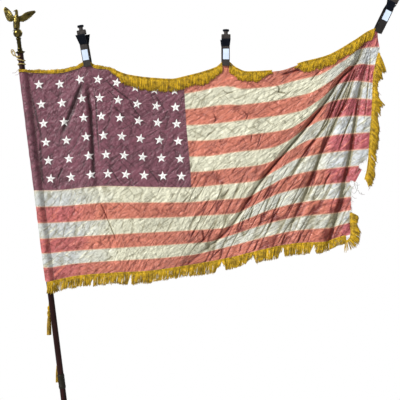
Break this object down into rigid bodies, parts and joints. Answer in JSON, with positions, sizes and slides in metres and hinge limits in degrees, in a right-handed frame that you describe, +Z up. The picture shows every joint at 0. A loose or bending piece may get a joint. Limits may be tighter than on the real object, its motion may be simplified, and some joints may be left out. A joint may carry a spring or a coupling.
{
  "type": "tattered flag with pole and clamps",
  "caption": "Faded fringed flag of stripes and a star canton, sleeved on a leaning pole with an eagle top and held up along its top edge by spring clamps.",
  "frame": {"origin": "centre of the flat top of the middle clamp's cap", "axes": "+Z up, +X along the flag from the hoist to the fly, -Y out of the flag's face"},
  "size_m": [1.6622, 0.0559, 2.6771],
  "materials": {
    "canton_cloth": "faded mauve silk-like weave, creased",
    "red_cloth": "faded brick-red silk-like weave, creased",
    "white_cloth": "aged off-white silk-like weave, creased",
    "gold_fringe": "gold rayon fringe, worn and matted",
    "gold_cord": "pale gold twisted cord",
    "dark_wood": "dark stained and varnished",
    "brass": "aged brass with dark hollows",
    "clamp_steel": "grey-brown paint, scuffed",
    "clamp_spring": "zinc plated",
    "black_plastic": "moulded, slightly worn",
    "label_paper": "bare white label",
    "foot_rubber": "plain black"
  },
  "bodies": {
    "root": {"canton": "canton_cloth", "stripe_01": "red_cloth", "stripe_02": "white_cloth", "stripe_03": "red_cloth", "stripe_04": "white_cloth", "stripe_05": "red_cloth", "stripe_06": "white_cloth", "stripe_07": "red_cloth", "stripe_08": "white_cloth", "stripe_09": "red_cloth", "stripe_10": "white_cloth", "stripe_11": "red_cloth", "stripe_12": "white_cloth", "stripe_13": "red_cloth", "fringe_top": "gold_fringe", "fringe_bottom": "gold_fringe", "fringe_fly": "gold_fringe", "fringe_corner": "gold_fringe", "tassel_short": "gold_fringe", "tassel_long": "gold_fringe", "cord_tie": "gold_cord", "cord_short": "gold_cord", "cord_long": "gold_cord", "pole_upper": "dark_wood", "pole_lower": "dark_wood", "pole_joint": "brass", "pole_foot": "foot_rubber", "ferrule": "brass", "finial_eagle": "brass", "clamp_left_arm_front": "clamp_steel", "clamp_left_arm_back": "clamp_steel", "clamp_left_spring": "clamp_spring", "clamp_left_grip_front": "black_plastic", "clamp_left_grip_back": "black_plastic", "clamp_left_hanger": "clamp_steel", "clamp_left_cap": "black_plastic", "clamp_left_label": "label_paper", "clamp_middle_arm_front": "clamp_steel", "clamp_middle_arm_back": "clamp_steel", "clamp_middle_spring": "clamp_spring", "clamp_middle_grip_front": "black_plastic", "clamp_middle_grip_back": "black_plastic", "clamp_middle_hanger": "clamp_steel", "clamp_middle_cap": "black_plastic", "clamp_middle_label": "label_paper", "clamp_right_arm_front": "clamp_steel", "clamp_right_arm_back": "clamp_steel", "clamp_right_spring": "clamp_spring", "clamp_right_grip_front": "black_plastic", "clamp_right_grip_back": "black_plastic", "clamp_right_hanger": "clamp_steel", "clamp_right_cap": "black_plastic", "clamp_right_label": "label_paper"}
  },
  "joints": []
}
